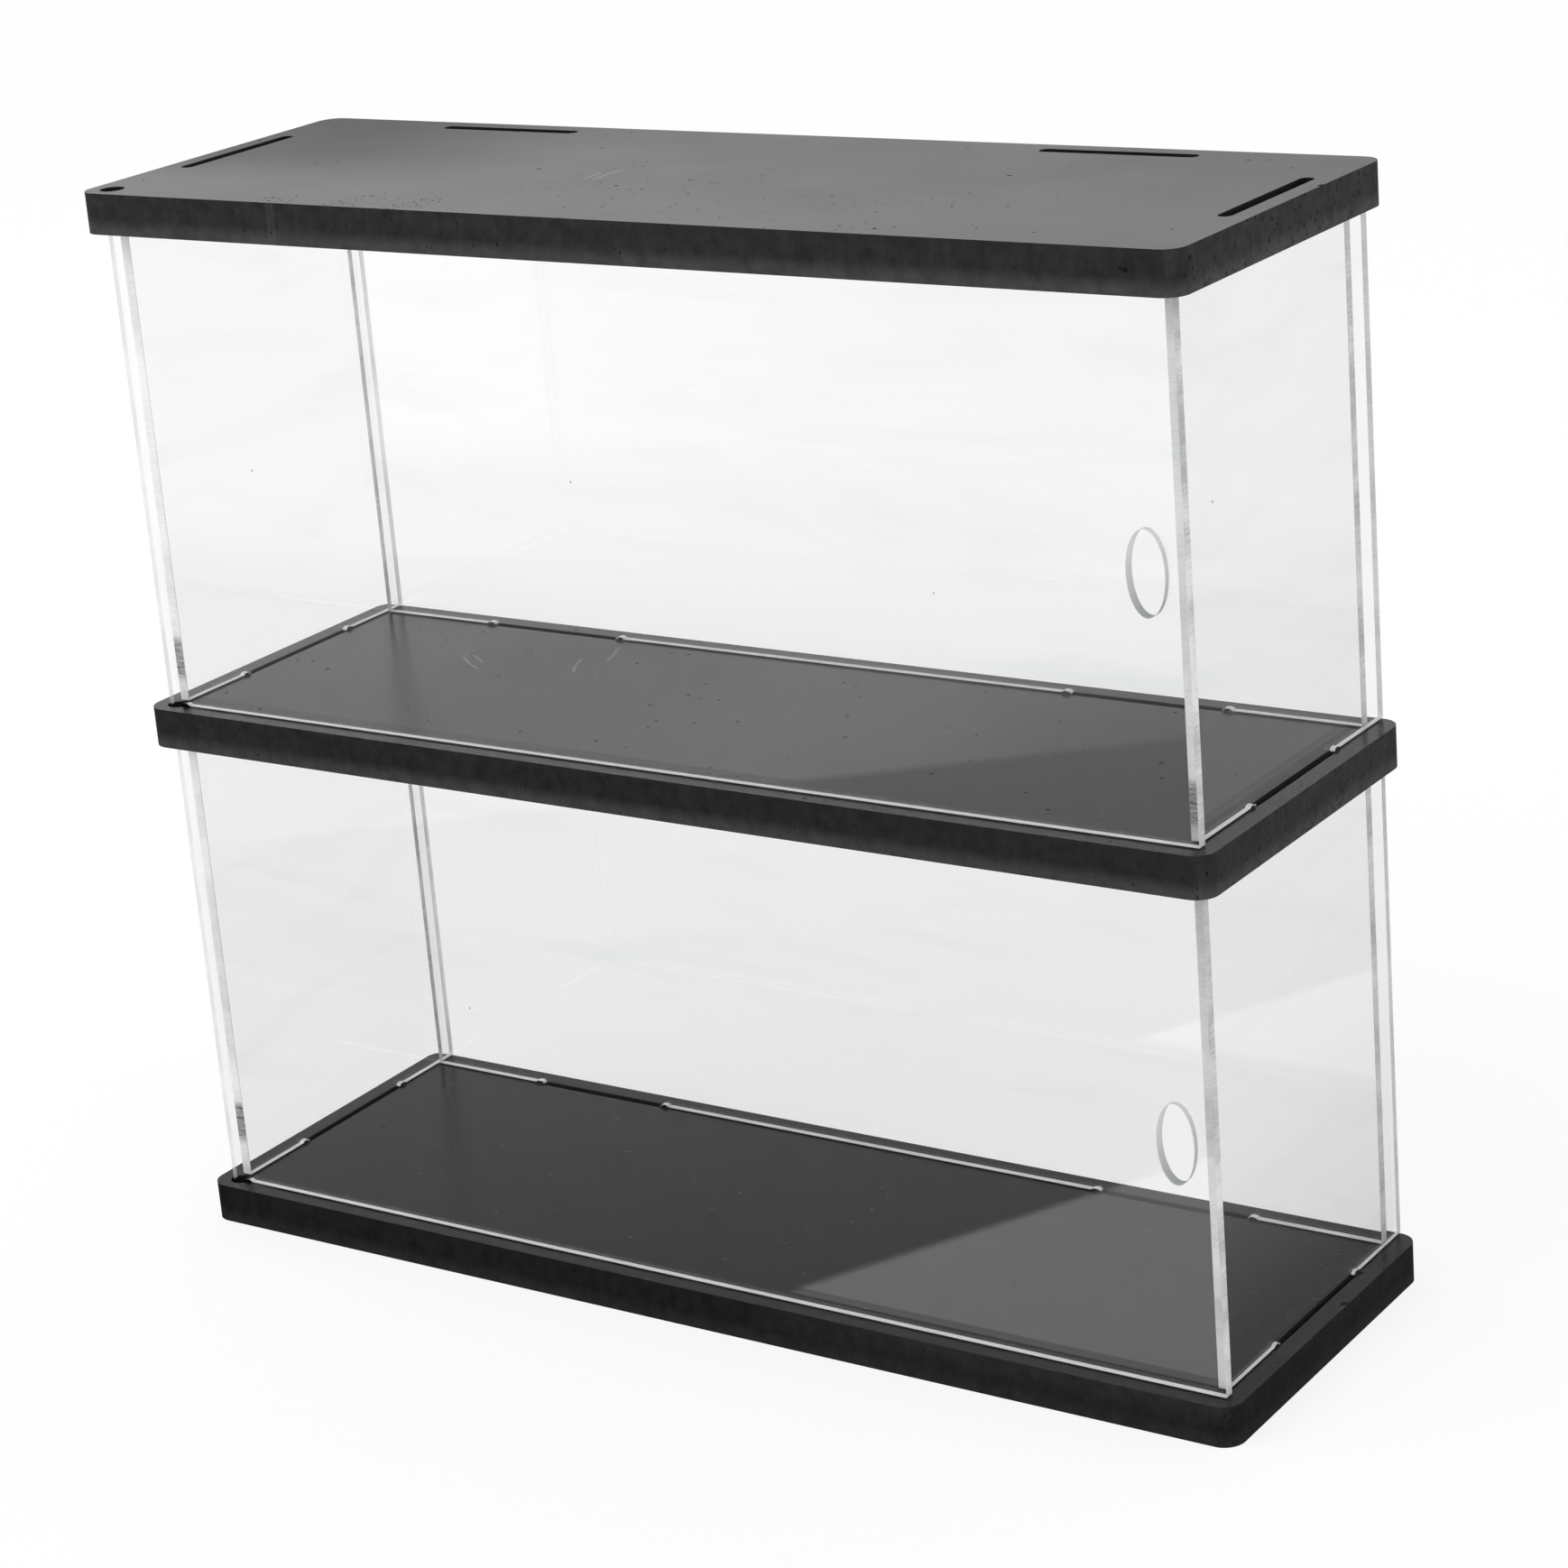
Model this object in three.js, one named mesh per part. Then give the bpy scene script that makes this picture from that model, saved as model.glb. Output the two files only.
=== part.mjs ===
// A two-tier display case for figurines: three equal boards with clear sheet panels standing between them.
// Every panel has tabs that plug half way into slots in the board below and the board above, so the case
// holds together without fasteners. The doors plug into round holes instead, and turn there.
//
// Units are millimetres and Z is up. The origin is the middle of the underside of the bottom board.
// Seen from the front, X runs to the right and Y runs to the back.

import * as THREE from 'three';

// Boards
const boardLength = 298;
const boardDepth = 96.4;
const boardThickness = 10;
const boardCornerRadius = 5;
const boardNames = ['bottom_board', 'middle_board', 'top_board'];

// Clear height between two boards, and the tiers from the bottom up
const tierHeight = 120;
const tierNames = ['lower', 'upper'];

// Clear sheet that the panels and doors are cut from
const sheetThickness = 2.7;
const reliefRadius = 0.55; // half-round relief in both root corners of a tab
const shoulderGap = 0.3; // between the shoulders of a sheet and the board they face

// Tabs of the fixed panels and their slots
const tabLength = 38.8;
const tabEndGap = 0.3; // each tab stops this much short of the middle of the board
const slotClearance = 0.35; // on each face of the sheet
const slotCornerClearanceShare = 0.5; // of the slot clearance, where a tab's corners meet the round ends

// Places of the fixed panels on the boards
const sidePanelInset = 5.05; // end of the board to the outer face of a side panel
const backPanelInset = 5.05; // back edge of the board to the outer face of the back panel
const backPanelEndClearance = 0.25; // ends of the back panel to the side panels
const sideTabFromBack = 44.2; // back edge of the board to the middle of a side tab
const backTabFromEnd = 63; // end of the board to the middle of a back tab

// Doors, hinged at the left end
const pivotTabWidth = 3.8;
const pivotClearance = 0.67; // corners of the pivot tab to the wall of its hole
const pivotEndWall = 3.6; // board left between the pivot hole and the board's end
const pivotFrontWall = 2.6; // board left between the pivot hole and the board's front edge
const doorGap = 2.15; // back face of the door to the front edges of the side panels
const doorEndInset = 3.8; // end of the door to the board's right end
const fingerHoleWidth = 10.4;
const fingerHoleHeight = 20;
const fingerHoleFromEnd = 9; // end of the door to the middle of the finger hole

// Divisions of each arc when an outline is turned into facets
const arcDivisions = 8;

// Lines and faces that several pieces share
const boardEnd = boardLength / 2;
const boardBack = boardDepth / 2;
const sidePanelOuterX = boardEnd - sidePanelInset;
const sidePanelInnerX = sidePanelOuterX - sheetThickness;
const sideSlotX = (sidePanelOuterX + sidePanelInnerX) / 2;
const sideSlotY = boardBack - sideTabFromBack;
const backPanelOuterY = boardBack - backPanelInset;
const backSlotX = boardEnd - backTabFromEnd;
const backSlotY = backPanelOuterY - sheetThickness / 2;
const pivotHoleRadius = Math.hypot(pivotTabWidth / 2, sheetThickness / 2) + pivotClearance;
const pivotX = -boardEnd + pivotEndWall + pivotHoleRadius;
const pivotY = -boardBack + pivotFrontWall + pivotHoleRadius;
const sidePanelFrontY = pivotY + sheetThickness / 2 + doorGap;
const tierPitch = tierHeight + boardThickness;

// Heights on a sheet, counted from the top face of the board it stands on
const lowerShoulder = shoulderGap;
const upperShoulder = tierHeight - shoulderGap;
const lowerTip = -boardThickness / 2 + tabEndGap;
const upperTip = tierHeight + boardThickness / 2 - tabEndGap;

function boardMaterial() {
  return new THREE.MeshStandardMaterial({ color: '#222324', roughness: 0.5, metalness: 0 });
}

function clearMaterial() {
  return new THREE.MeshStandardMaterial({
    color: '#edf2f2',
    roughness: 0.06,
    metalness: 0,
    transparent: true,
    opacity: 0.25,
  });
}

function extrude(outline, thickness) {
  return new THREE.ExtrudeGeometry(outline, {
    depth: thickness,
    bevelEnabled: false,
    curveSegments: arcDivisions,
  });
}

// A slot with round ends, just long enough that the square corners of a tab clear the round ends.
function slotHole(centreX, centreY, runsAlongX) {
  const radius = sheetThickness / 2 + slotClearance;
  const cornerReach = radius - slotClearance * slotCornerClearanceShare;
  const cornerOverlap = Math.sqrt(cornerReach ** 2 - (sheetThickness / 2) ** 2);
  const halfRun = tabLength / 2 - cornerOverlap;
  const runX = runsAlongX ? halfRun : 0;
  const runY = runsAlongX ? 0 : halfRun;
  const turn = runsAlongX ? 0 : Math.PI / 2;
  const slot = new THREE.Path();
  slot.absarc(centreX + runX, centreY + runY, radius, turn - Math.PI / 2, turn + Math.PI / 2, false);
  slot.absarc(centreX - runX, centreY - runY, radius, turn + Math.PI / 2, turn + Math.PI * 1.5, false);
  return slot;
}

// A closed oval, or a circle where both half axes are alike, drawn in quarters.
function ovalHole(centreX, centreY, halfWidth, halfHeight) {
  const hole = new THREE.Path();
  for (let quarter = 0; quarter < 4; quarter += 1) {
    const start = (quarter * Math.PI) / 2;
    hole.absellipse(centreX, centreY, halfWidth, halfHeight, start, start + Math.PI / 2, false, 0);
  }
  return hole;
}

// All boards have the same outline, with rounded upright corners, four slots and the pivot hole.
function boardGeometry() {
  const cornerX = boardEnd - boardCornerRadius;
  const cornerY = boardBack - boardCornerRadius;
  const outline = new THREE.Shape();
  outline.absarc(cornerX, cornerY, boardCornerRadius, 0, Math.PI / 2, false);
  outline.absarc(-cornerX, cornerY, boardCornerRadius, Math.PI / 2, Math.PI, false);
  outline.absarc(-cornerX, -cornerY, boardCornerRadius, Math.PI, Math.PI * 1.5, false);
  outline.absarc(cornerX, -cornerY, boardCornerRadius, Math.PI * 1.5, Math.PI * 2, false);
  for (const side of [-1, 1]) {
    outline.holes.push(slotHole(side * sideSlotX, sideSlotY, false));
    outline.holes.push(slotHole(side * backSlotX, backSlotY, true));
  }
  outline.holes.push(ovalHole(pivotX, pivotY, pivotHoleRadius, pivotHoleRadius));
  return extrude(outline, boardThickness);
}

// One half-round relief, cut into the sheet beside a tab. Its centre lies on the shoulder line.
// Travel is 1 along a lower edge and -1 along an upper edge, which keeps the sheet on the left.
function addRelief(outline, centre, shoulder, travel) {
  const start = travel > 0 ? Math.PI : 0;
  const end = travel > 0 ? 0 : Math.PI;
  outline.absarc(centre, shoulder, reliefRadius, start, end, true);
}

// One long edge of a fixed panel, with a relief on each side of every tab.
function addTabbedEdge(outline, tabCentres, shoulder, tip, travel) {
  for (const centre of tabCentres) {
    const nearSide = centre - (travel * tabLength) / 2;
    const farSide = centre + (travel * tabLength) / 2;
    addRelief(outline, nearSide - travel * reliefRadius, shoulder, travel);
    outline.lineTo(nearSide, tip);
    outline.lineTo(farSide, tip);
    addRelief(outline, farSide + travel * reliefRadius, shoulder, travel);
  }
}

// A fixed panel between two ends, with the same tabs along its lower and upper edge.
function panelGeometry(startEnd, farEnd, tabCentres) {
  const outline = new THREE.Shape();
  outline.moveTo(startEnd, upperShoulder);
  outline.lineTo(startEnd, lowerShoulder);
  addTabbedEdge(outline, tabCentres, lowerShoulder, lowerTip, 1);
  outline.lineTo(farEnd, lowerShoulder);
  outline.lineTo(farEnd, upperShoulder);
  addTabbedEdge(outline, [...tabCentres].reverse(), upperShoulder, upperTip, -1);
  return extrude(outline, sheetThickness);
}

// The door, drawn from its pivot axis. Both pivot tabs are flush with its left end.
function doorGeometry() {
  const hingeEnd = -pivotTabWidth / 2;
  const tabSide = pivotTabWidth / 2;
  const handleEnd = boardEnd - doorEndInset - pivotX;
  const outline = new THREE.Shape();
  outline.moveTo(hingeEnd, lowerTip);
  outline.lineTo(tabSide, lowerTip);
  addRelief(outline, tabSide + reliefRadius, lowerShoulder, 1);
  outline.lineTo(handleEnd, lowerShoulder);
  outline.lineTo(handleEnd, upperShoulder);
  addRelief(outline, tabSide + reliefRadius, upperShoulder, -1);
  outline.lineTo(tabSide, upperTip);
  outline.lineTo(hingeEnd, upperTip);
  const fingerHoleX = handleEnd - fingerHoleFromEnd;
  outline.holes.push(ovalHole(fingerHoleX, tierHeight / 2, fingerHoleWidth / 2, fingerHoleHeight / 2));
  return extrude(outline, sheetThickness);
}

function makeBoard(name, height) {
  const board = new THREE.Mesh(boardGeometry(), boardMaterial());
  board.name = name;
  board.position.z = height;
  return board;
}

// The side panels run along Y, from the gap behind the door to the back edge of the boards.
function makeSidePanel(name, innerX) {
  const panel = new THREE.Mesh(panelGeometry(sidePanelFrontY, boardBack, [sideSlotY]), clearMaterial());
  panel.name = name;
  panel.position.x = innerX;
  panel.rotation.set(Math.PI / 2, Math.PI / 2, 0);
  return panel;
}

// The back panel runs along X between the side panels.
function makeBackPanel(name) {
  const end = sidePanelInnerX - backPanelEndClearance;
  const panel = new THREE.Mesh(panelGeometry(-end, end, [-backSlotX, backSlotX]), clearMaterial());
  panel.name = name;
  panel.position.y = backPanelOuterY;
  panel.rotation.x = Math.PI / 2;
  return panel;
}

// The door stands in a group at its pivot axis, which is the axis it turns about.
function makeDoor(name) {
  const door = new THREE.Mesh(doorGeometry(), clearMaterial());
  door.name = name;
  door.position.y = sheetThickness / 2;
  door.rotation.x = Math.PI / 2;
  const pivot = new THREE.Group();
  pivot.position.set(pivotX, pivotY, 0);
  pivot.add(door);
  return pivot;
}

function makeTier(name) {
  const tier = new THREE.Group();
  tier.add(makeSidePanel(`${name}_left_panel`, -sidePanelOuterX));
  tier.add(makeSidePanel(`${name}_right_panel`, sidePanelInnerX));
  tier.add(makeBackPanel(`${name}_back_panel`));
  tier.add(makeDoor(`${name}_door`));
  return tier;
}

const displayCase = new THREE.Group();
boardNames.forEach((name, level) => {
  displayCase.add(makeBoard(name, level * tierPitch));
});
tierNames.forEach((name, level) => {
  const tier = makeTier(name);
  tier.position.z = boardThickness + level * tierPitch;
  displayCase.add(tier);
});

export default displayCase;
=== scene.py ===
# A two-tier figurine case: three black boards with clear acrylic panels and doors standing between them.
import math

import bmesh
import bpy
from mathutils import Matrix, Vector


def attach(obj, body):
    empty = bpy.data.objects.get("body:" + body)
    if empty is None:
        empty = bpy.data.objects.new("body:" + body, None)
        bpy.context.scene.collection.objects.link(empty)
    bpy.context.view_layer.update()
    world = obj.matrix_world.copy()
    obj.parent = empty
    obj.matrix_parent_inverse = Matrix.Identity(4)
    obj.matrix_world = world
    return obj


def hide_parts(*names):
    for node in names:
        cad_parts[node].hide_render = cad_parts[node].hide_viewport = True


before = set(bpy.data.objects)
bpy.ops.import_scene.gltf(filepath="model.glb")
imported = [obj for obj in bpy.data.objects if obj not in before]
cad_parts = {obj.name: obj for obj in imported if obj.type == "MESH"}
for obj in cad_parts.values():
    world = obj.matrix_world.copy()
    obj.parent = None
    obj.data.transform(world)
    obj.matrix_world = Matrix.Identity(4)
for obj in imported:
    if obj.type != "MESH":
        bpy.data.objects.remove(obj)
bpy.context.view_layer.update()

mm = 0.001
print("frame loaded:", len(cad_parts), "nodes")

# Camera
cameraValues = {
    "position": (540.45 * mm, -762.44 * mm, 442.34 * mm),
    "azimuth": 34.8845,        # degrees, round to the right of the case's front
    "elevation": 18.6170,
    "roll": -4.7667,
    "imageSize": 1738,
    "focalPixels": 4552.79,
    "centrePixels": (865.205, 842.574),
    "sensor": 36.0,
    "clip": (0.01, 50),
}


def addCamera(values):
    turn = Matrix.Rotation(math.radians(values["azimuth"]), 4, "Z")
    tilt = Matrix.Rotation(math.radians(90 - values["elevation"]), 4, "X")
    roll = Matrix.Rotation(math.radians(values["roll"]), 4, "Z")
    size = values["imageSize"]
    middle = (size - 1) / 2        # pixel centres count from zero
    bpy.ops.object.camera_add()
    camera = bpy.context.object
    camera.name = "photoCamera"
    camera.matrix_world = Matrix.Translation(values["position"]) @ turn @ tilt @ roll
    camera.data.sensor_width = values["sensor"]
    camera.data.lens = values["focalPixels"] * values["sensor"] / size
    camera.data.shift_x = (middle - values["centrePixels"][0]) / size
    camera.data.shift_y = (values["centrePixels"][1] - middle) / size
    camera.data.clip_start, camera.data.clip_end = values["clip"]
    bpy.context.scene.camera = camera


addCamera(cameraValues)
print("camera placed")


# Node helpers
def linearColour(hexColour):
    # An sRGB colour in the linear light that shader sockets take
    channels = [int(hexColour[i:i + 2], 16) / 255 for i in (1, 3, 5)]
    linear = [c / 12.92 if c <= 0.04045 else ((c + 0.055) / 1.055) ** 2.4 for c in channels]
    return linear + [1.0]


def addNode(tree, kind, settings=None, links=None):
    # Settings are the node's own, or values of its inputs. A node among the links gives its first output
    node = tree.nodes.new("ShaderNode" + kind)
    for name, value in (settings or {}).items():
        if isinstance(name, str) and hasattr(node, name):
            setattr(node, name, value)
        else:
            node.inputs[name].default_value = value
    for name, source in (links or {}).items():
        output = source.outputs[0] if isinstance(source, bpy.types.Node) else source
        tree.links.new(output, node.inputs[name])
    return node


def chain(tree, operation, parts):
    # Joins all the parts by one Math operation
    result = parts[0]
    for part in parts[1:]:
        result = addNode(tree, "Math", {"operation": operation}, {0: result, 1: part})
    return result


def newMaterial(name):
    material = bpy.data.materials.new(name)
    material.use_nodes = True
    material.node_tree.nodes.clear()
    return material, material.node_tree


# What several materials share: the setting of a MapRange that starts and ends softly, and refraction
eased = {"interpolation_type": "SMOOTHSTEP"}
iorValues = {"pvc": 1.53, "acrylic": 1.49}

# Studio: white behind the case, and for gloss a dimmer room, with painted light and shade on the table in
# front: brighter patches and a dark painted strip
studioValues = {
    "roomLight": 0.92,         # light that the room gives to matt surfaces
    "rearLow": 1.0,            # the room behind the case as gloss sees it, from low to high
    "rearMiddle": (0.84, 0.60),    # at its left and right
    "rearHigh": (0.20, 0.29),
    "rearHeights": (0.24, 0.33, 0.40),
    "rearSides": (-0.62, -0.44),
    "rearFrom": (-0.35, 0.45),     # where its front passes into its rear, as Y of a direction
    "front": 0.22,
    "top": 0.80,
    "topFrom": (0.55, 0.90),       # where its sides pass into its top, as Z of a direction
    "floorSize": 8.0,
    "paper": "#FCFCFC",
    "paperShare": 0.20,        # share of the table that takes the case's shadow
    "patchGlow": 1.05,         # table beside the front right corner
    "patchAcross": (0.888, 0.460, 0),
    "patchEdge": -0.0172,      # left edge of the patch along patchAcross, in metres
    "patchEdgeSoft": 0.002,
    "patchFront": -0.0654,     # its edge toward the case
    "patchFrontSoft": 0.0002,
    "patchNear": (-0.23, -0.165),  # its fade away from the case
    "stripGlow": 0.04,         # painted shade: a dark strip across the table as gloss sees it
    "stripAcross": (0.639, 0.769, 0),
    "stripFar": -0.420,        # its far edge along stripAcross
    "stripSoft": 0.005,
    "midGlow": ((-0.36, 0.30), (-0.20, 0.62), (-0.10, 0.36)),   # light beyond the strip, X and level
    "farGlow": 0.95,           # the same farther out
    "farFrom": (-0.50, -0.60),
    "rightGlow": 0.36,         # table to the right of the case
    "rightFrom": (0.15, 0.24),
    "cornerGlow": 1.6,         # and far out before its front right corner, from these X and Y
    "cornerFrom": ((0.26, 0.32), (-0.36, -0.42)),
    "keySize": 1.6,
    "keyPlace": (-0.9, -1.3, 1.9),
    "keyPower": 14.0,
    "keyAim": (0, 0, 0.13),
}


def raySorts(tree):
    # Two switches: 1 for the camera and what it sees through clear sheet, and 1 for what gloss mirrors.
    # Bounces are whole numbers, so a limit of a half parts none from some
    path = addNode(tree, "LightPath")
    bounces = chain(tree, "ADD", [path.outputs["Glossy Depth"], path.outputs["Diffuse Depth"]])
    straight = addNode(tree, "Math", {"operation": "LESS_THAN", 1: 0.5}, {0: bounces})
    mirrored = addNode(tree, "Math", {"operation": "GREATER_THAN", 1: 0.5},
                       {0: path.outputs["Glossy Depth"]})
    return straight, mirrored


def buildWorld(values):
    world = bpy.data.worlds.new("studio")
    bpy.context.scene.world = world
    world.use_nodes = True
    tree = world.node_tree
    tree.nodes.clear()
    straight, mirrored = raySorts(tree)
    place = addNode(tree, "TexCoord")
    axes = addNode(tree, "SeparateXYZ", {}, {0: place.outputs["Generated"]})
    farLeft, farRight = values["rearSides"]
    lowest, between, uppermost = values["rearHeights"]
    sides = {"From Min": farLeft, "From Max": farRight}
    middle, high = [
        addNode(tree, "MapRange", {**sides, "To Min": left, "To Max": right}, {"Value": axes.outputs["X"]})
        for left, right in (values["rearMiddle"], values["rearHigh"])
    ]
    lower = addNode(tree, "MapRange",
                    {**eased, "From Min": lowest, "From Max": between, "To Min": values["rearLow"]},
                    {"Value": axes.outputs["Z"], "To Max": middle})
    rising = addNode(tree, "MapRange", {**eased, "From Min": between, "From Max": uppermost},
                     {"Value": axes.outputs["Z"]})
    rear = addNode(tree, "Mix", {"data_type": "FLOAT"}, {0: rising, 2: lower, 3: high})
    start, end = values["rearFrom"]
    behind = addNode(tree, "MapRange", {**eased, "From Min": start, "From Max": end},
                     {"Value": axes.outputs["Y"]})
    level = addNode(tree, "Mix", {"data_type": "FLOAT", 2: values["front"]}, {0: behind, 3: rear})
    start, end = values["topFrom"]
    height = addNode(tree, "MapRange", {**eased, "From Min": start, "From Max": end},
                     {"Value": axes.outputs["Z"]})
    room = addNode(tree, "Mix", {"data_type": "FLOAT", 3: values["top"]}, {0: height, 2: level})
    plain = addNode(tree, "Mix", {"data_type": "FLOAT", 2: values["roomLight"], 3: 1.0}, {0: straight})
    strength = addNode(tree, "Mix", {"data_type": "FLOAT"}, {0: mirrored, 2: plain, 3: room})
    background = addNode(tree, "Background", {"Color": (1, 1, 1, 1)}, {"Strength": strength})
    addNode(tree, "OutputWorld", {}, {"Surface": background})


def buildTable(values):
    bpy.ops.mesh.primitive_plane_add(size=values["floorSize"])
    table = bpy.context.object
    table.name = "table"
    material, tree = newMaterial("whitePaper")
    straight, mirrored = raySorts(tree)
    paper = addNode(tree, "BsdfDiffuse", {"Color": linearColour(values["paper"])})
    white = addNode(tree, "Emission", {"Color": (1, 1, 1, 1), "Strength": 1.0})
    seen = addNode(tree, "MixShader", {0: values["paperShare"]}, {1: white, 2: paper})
    place = addNode(tree, "TexCoord")
    spot = place.outputs["Object"]
    axes = addNode(tree, "SeparateXYZ", {}, {0: spot})
    across = addNode(tree, "VectorMath", {"operation": "DOT_PRODUCT", 1: values["stripAcross"]}, {0: spot})
    fromPatch = addNode(tree, "VectorMath", {"operation": "DOT_PRODUCT", 1: values["patchAcross"]},
                        {0: spot})
    x, y = axes.outputs["X"], axes.outputs["Y"]
    (leftX, leftLevel), (peakX, peakLevel), (rightX, rightLevel) = values["midGlow"]
    edge, edgeSoft = values["patchEdge"], values["patchEdgeSoft"]
    front, frontSoft = values["patchFront"], values["patchFrontSoft"]
    far, farSoft = values["stripFar"], values["stripSoft"]
    cornerX, cornerY = values["cornerFrom"]
    spans = {
        "rising": (x, leftX, peakX, leftLevel, peakLevel),
        "falling": (x, peakX, rightX, 0, rightLevel - peakLevel),
        "farther": (y, *values["farFrom"], 0, 1),
        "beyond": (across.outputs["Value"], far + farSoft, far - farSoft, 0, 1),
        "rightOf": (fromPatch.outputs["Value"], edge - edgeSoft, edge + edgeSoft, 0, 1),
        "inFront": (y, front + frontSoft, front - frontSoft, 0, 1),
        "nearCase": (y, *values["patchNear"], 0, 1),
        "toTheRight": (x, *values["rightFrom"], values["stripGlow"], values["rightGlow"]),
        "cornerRight": (x, *cornerX, 0, 1),
        "cornerFront": (y, *cornerY, 0, 1),
    }
    fades = {}
    for name, (source, start, end, low, high) in spans.items():
        fades[name] = addNode(tree, "MapRange",
                              {**eased, "From Min": start, "From Max": end, "To Min": low, "To Max": high},
                              {"Value": source})
    midGlow = chain(tree, "ADD", [fades["rising"], fades["falling"]])
    farGlow = addNode(tree, "Mix", {"data_type": "FLOAT", 3: values["farGlow"]},
                      {0: fades["farther"], 2: midGlow})
    patch = chain(tree, "MULTIPLY", [fades["nearCase"], fades["inFront"], fades["rightOf"]])
    strip = addNode(tree, "Mix", {"data_type": "FLOAT"},
                    {0: fades["beyond"], 2: fades["toTheRight"], 3: farGlow})
    corner = chain(tree, "MULTIPLY", [fades["cornerRight"], fades["cornerFront"]])
    around = addNode(tree, "Mix", {"data_type": "FLOAT", 3: values["cornerGlow"]}, {0: corner, 2: strip})
    glow = addNode(tree, "Mix", {"data_type": "FLOAT", 3: values["patchGlow"]}, {0: patch, 2: around})
    # As gloss sees it, the table glows with painted light and shade: brighter patches and a dark painted
    # strip
    reflection = addNode(tree, "Emission", {"Color": (1, 1, 1, 1)}, {"Strength": glow})
    shown = addNode(tree, "MixShader", {}, {0: mirrored, 1: seen, 2: reflection})
    addNode(tree, "OutputMaterial", {}, {"Surface": shown})
    table.data.materials.append(material)


def addSoftbox(values):
    bpy.ops.object.light_add(type="AREA", location=values["keyPlace"])
    lamp = bpy.context.object
    lamp.name = "keySoftbox"
    lamp.data.shape = "SQUARE"
    lamp.data.size = values["keySize"]
    lamp.data.energy = values["keyPower"]
    aim = Vector(values["keyAim"]) - Vector(values["keyPlace"])
    lamp.rotation_euler = aim.to_track_quat("-Z", "Y").to_euler()


buildWorld(studioValues)
buildTable(studioValues)
addSoftbox(studioValues)
print("studio built")


# Black expanded PVC: the pressed skin is satin, so the room lies on it as a soft grey sheen, with
# faint streaks along the sheet's length, and a few cells of the foam have opened there as small pits.
# The pits are drawn about twice as wide as real ones, which would be too fine to see
skinValues = {
    "light": "#1A1A1B",
    "dark": "#101011",
    "streakShare": 0.6,        # streaks against clouds in the tone
    "toneSpan": (0.62, 0.98),  # tones drawn as the darkest and the lightest
    "pit": "#050505",
    "scratch": "#7C7C7D",
    "roughness": (0.238, 0.256),
    "topFrom": 200,            # Z above which the board is the top one
    "dullCorner": 0.085,       # extra roughness where the top board is rubbed dull, at its left rear
    "dullCornerFrom": ((-45, -125), (-34, 12)),   # X and Y
    "dullEnd": 0.01,           # and at its right end
    "dullEndFrom": (70, 130),
    "dullTop": (0.038, 0.076), # and a little all over, less at its front than at its rear
    "dullTopFrom": (-40, 40),
    "cloud": 38,               # mm across
    "streak": (22, 1.6),       # mm long and wide
    "grain": 1.1,
    "pitSpacing": 4.6,
    "pitRadius": 0.75,
    "pitShares": (0.34, 0.12), # cells with a pit on the lower boards and on the top board
    "finePitSpacing": 1.25,    # small pits that lie in crowds: X, Y, reach and share of cells
    "finePitRadius": 0.5,
    "crowds": (
        (-89, -45, 8, 1.0),
        (-66, -43, 13, 1.0),
        (-52, -42, 9, 1.0),
        (0, -20, 50, 0.10),
        (66, -22, 46, 0.08),
    ),
    "crowdHeight": 270,        # top face of the top board
    "crowdFade": 0.8,          # share of the reach over which a crowd thins out
    "chips": ((148.4, 8.9, 10, 1.5), (144.6, 24.7, 10, 1.1), (149, 17.2, 269.8, 1.3)),   # X, Y, Z and reach
    "chipFade": 0.5,
    "scratches": (             # centre and radius of an arc, its middle and its length
        ((-74.1, 35.6, 140), 30.0, (-91.6, 11.2, 140), 18),
        ((-108.7, -9.4, 140), 30.0, (-91.9, 15.4, 140), 12),
        ((-36.4, 31.6, 140), 30.0, (-63.5, 18.7, 140), 16),
        ((-87.7, 19.4, 140), 30.0, (-59.6, 29.8, 140), 16),
        ((16.0, -2.6, 270), 40.3, (-24.3, -2.6, 270), 17),
        ((-67.0, -5.0, 270), 40.0, (-27.0, -5.0, 270), 9),
    ),
    "relief": 0.0003,          # mm
    "pitDepth": 0.10,
    "pitRoughness": 0.75,
    "scratchWidth": 0.8,
    "scratchShare": 0.6,
}


# Shares of a pit's full size and depth, and of its radius where the floor begins
pitValues = {"sizes": (0.5, 1.0), "depths": (0.4, 1.0), "floor": 0.5}


def pitMask(tree, place, spacing, radius, share):
    # Round pits of mixed sizes: share is how many of the cells have one
    (smallest, largest), (shallowest, deepest) = pitValues["sizes"], pitValues["depths"]
    cells = addNode(tree, "TexVoronoi", {"Scale": 1000 / spacing}, {"Vector": place})
    choice = addNode(tree, "SeparateColor", {}, {0: cells.outputs["Color"]})
    chosen = addNode(tree, "Math", {"operation": "LESS_THAN"}, {0: choice, 1: share})
    size = addNode(tree, "MapRange", {"To Min": smallest, "To Max": largest}, {"Value": choice.outputs[1]})
    reach = addNode(tree, "Math", {"operation": "MULTIPLY", 1: radius / spacing}, {0: size})
    inside = addNode(tree, "Math", {"operation": "DIVIDE"}, {0: cells.outputs["Distance"], 1: reach})
    hollow = addNode(tree, "MapRange", {**eased, "From Min": 1.0, "From Max": pitValues["floor"]},
                     {"Value": inside})
    deep = addNode(tree, "MapRange", {"To Min": shallowest, "To Max": deepest},
                   {"Value": choice.outputs[2]})
    return chain(tree, "MULTIPLY", [hollow, deep, chosen])


def within(tree, place, centre, reach, edge):
    # 1 inside a ball round the centre, fading to 0 over the edge
    away = addNode(tree, "VectorMath", {"operation": "DISTANCE", 1: [c * mm for c in centre]}, {0: place})
    return addNode(tree, "MapRange", {**eased, "From Min": reach * mm, "From Max": (reach - edge) * mm},
                   {"Value": away.outputs["Value"]})


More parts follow.
